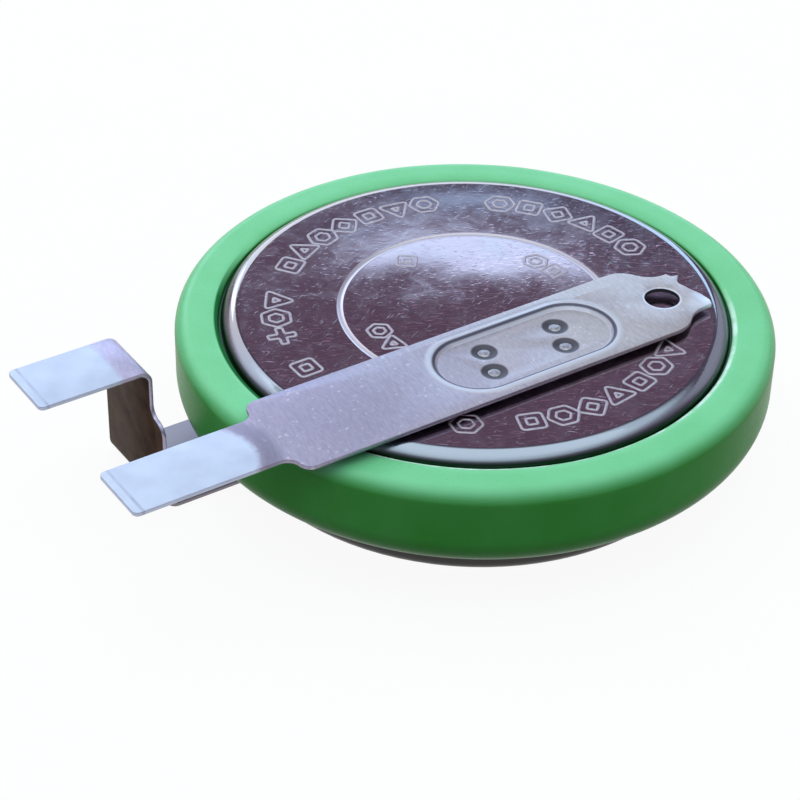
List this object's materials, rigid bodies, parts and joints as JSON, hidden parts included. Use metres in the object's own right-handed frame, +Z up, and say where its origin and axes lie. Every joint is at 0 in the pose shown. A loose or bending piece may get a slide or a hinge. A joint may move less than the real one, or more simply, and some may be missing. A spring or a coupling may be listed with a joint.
{
  "type": "tabbed lithium coin cell",
  "caption": "Round lithium coin cell in an insulating sleeve, with welded metal tabs that bring both poles out side by side in one plane for soldering.",
  "frame": {"origin": "centre of the footprint, on the surface that the strip under the negative cap lies on", "axes": "+X along the tabs, away from the terminals; +Z up through the cell, from the negative cap to the positive face"},
  "size_m": [0.0258, 0.0206, 0.0052],
  "materials": {
    "can_steel": "polished stainless steel with light scuffs and shallow stamped marks",
    "cap_steel": "satin stainless steel",
    "gasket_plastic": "milky moulded polypropylene",
    "cathode_mix": "pressed black powder",
    "ring_steel": "plain pressed steel",
    "separator_felt": "white non-woven felt",
    "lithium_metal": "dull rolled metal",
    "sleeve_film": "green shrunk plastic, soft gloss",
    "tab_steel": "satin nickel-plated strip with tinned ends"
  },
  "bodies": {
    "root": {"positive_can": "can_steel", "negative_cap": "cap_steel", "sealing_gasket": "gasket_plastic", "cathode_pellet": "cathode_mix", "cathode_ring": "ring_steel", "separator": "separator_felt", "lithium_disc": "lithium_metal", "insulating_sleeve": "sleeve_film", "positive_tab": "tab_steel", "negative_tab": "tab_steel"}
  },
  "joints": []
}
